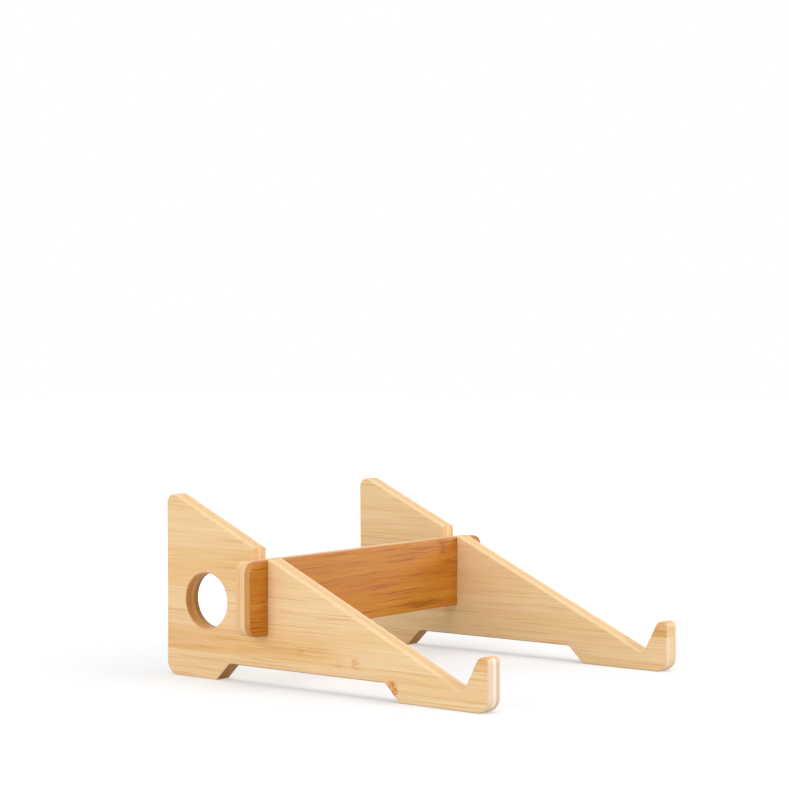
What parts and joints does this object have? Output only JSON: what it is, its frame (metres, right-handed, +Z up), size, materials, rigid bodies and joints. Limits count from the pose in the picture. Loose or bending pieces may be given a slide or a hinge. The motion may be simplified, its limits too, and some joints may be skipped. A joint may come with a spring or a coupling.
{
  "type": "laptop stand",
  "caption": "Slot-together bamboo laptop stand with hooked, sloping side panels and a lift-out cross board whose ends stand out as ears.",
  "frame": {"origin": "on the desk, midway between the side panels and midway between their front and back edges", "axes": "+Z up, +Y from the hooks towards the back, +X to the right of a person sitting at the stand"},
  "size_m": [0.242, 0.254, 0.116],
  "materials": {
    "bamboo_face_ply": "satin clear-coated bamboo, grain along the board",
    "bamboo_core_ply": "satin clear-coated bamboo, grain across the board"
  },
  "bodies": {
    "left_panel": {"left_panel_outer_ply": "bamboo_face_ply", "left_panel_core_ply": "bamboo_core_ply", "left_panel_inner_ply": "bamboo_face_ply"},
    "cross_board": {"cross_board_front_ply": "bamboo_face_ply", "cross_board_core_ply": "bamboo_core_ply", "cross_board_rear_ply": "bamboo_face_ply"},
    "right_panel": {"right_panel_outer_ply": "bamboo_face_ply", "right_panel_core_ply": "bamboo_core_ply", "right_panel_inner_ply": "bamboo_face_ply"}
  },
  "joints": [
    {"name": "cross_board_lift", "type": "slide", "parent": "left_panel", "child": "cross_board", "axis": [0, 0, 1], "range_m": [0, 0.06]},
    {"name": "right_panel_lift", "type": "slide", "parent": "cross_board", "child": "right_panel", "axis": [0, 0, 1], "range_m": [-0.06, 0]}
  ],
  "couplings": [
    {"joint": "right_panel_lift", "follows": "cross_board_lift", "ratio": -1}
  ]
}
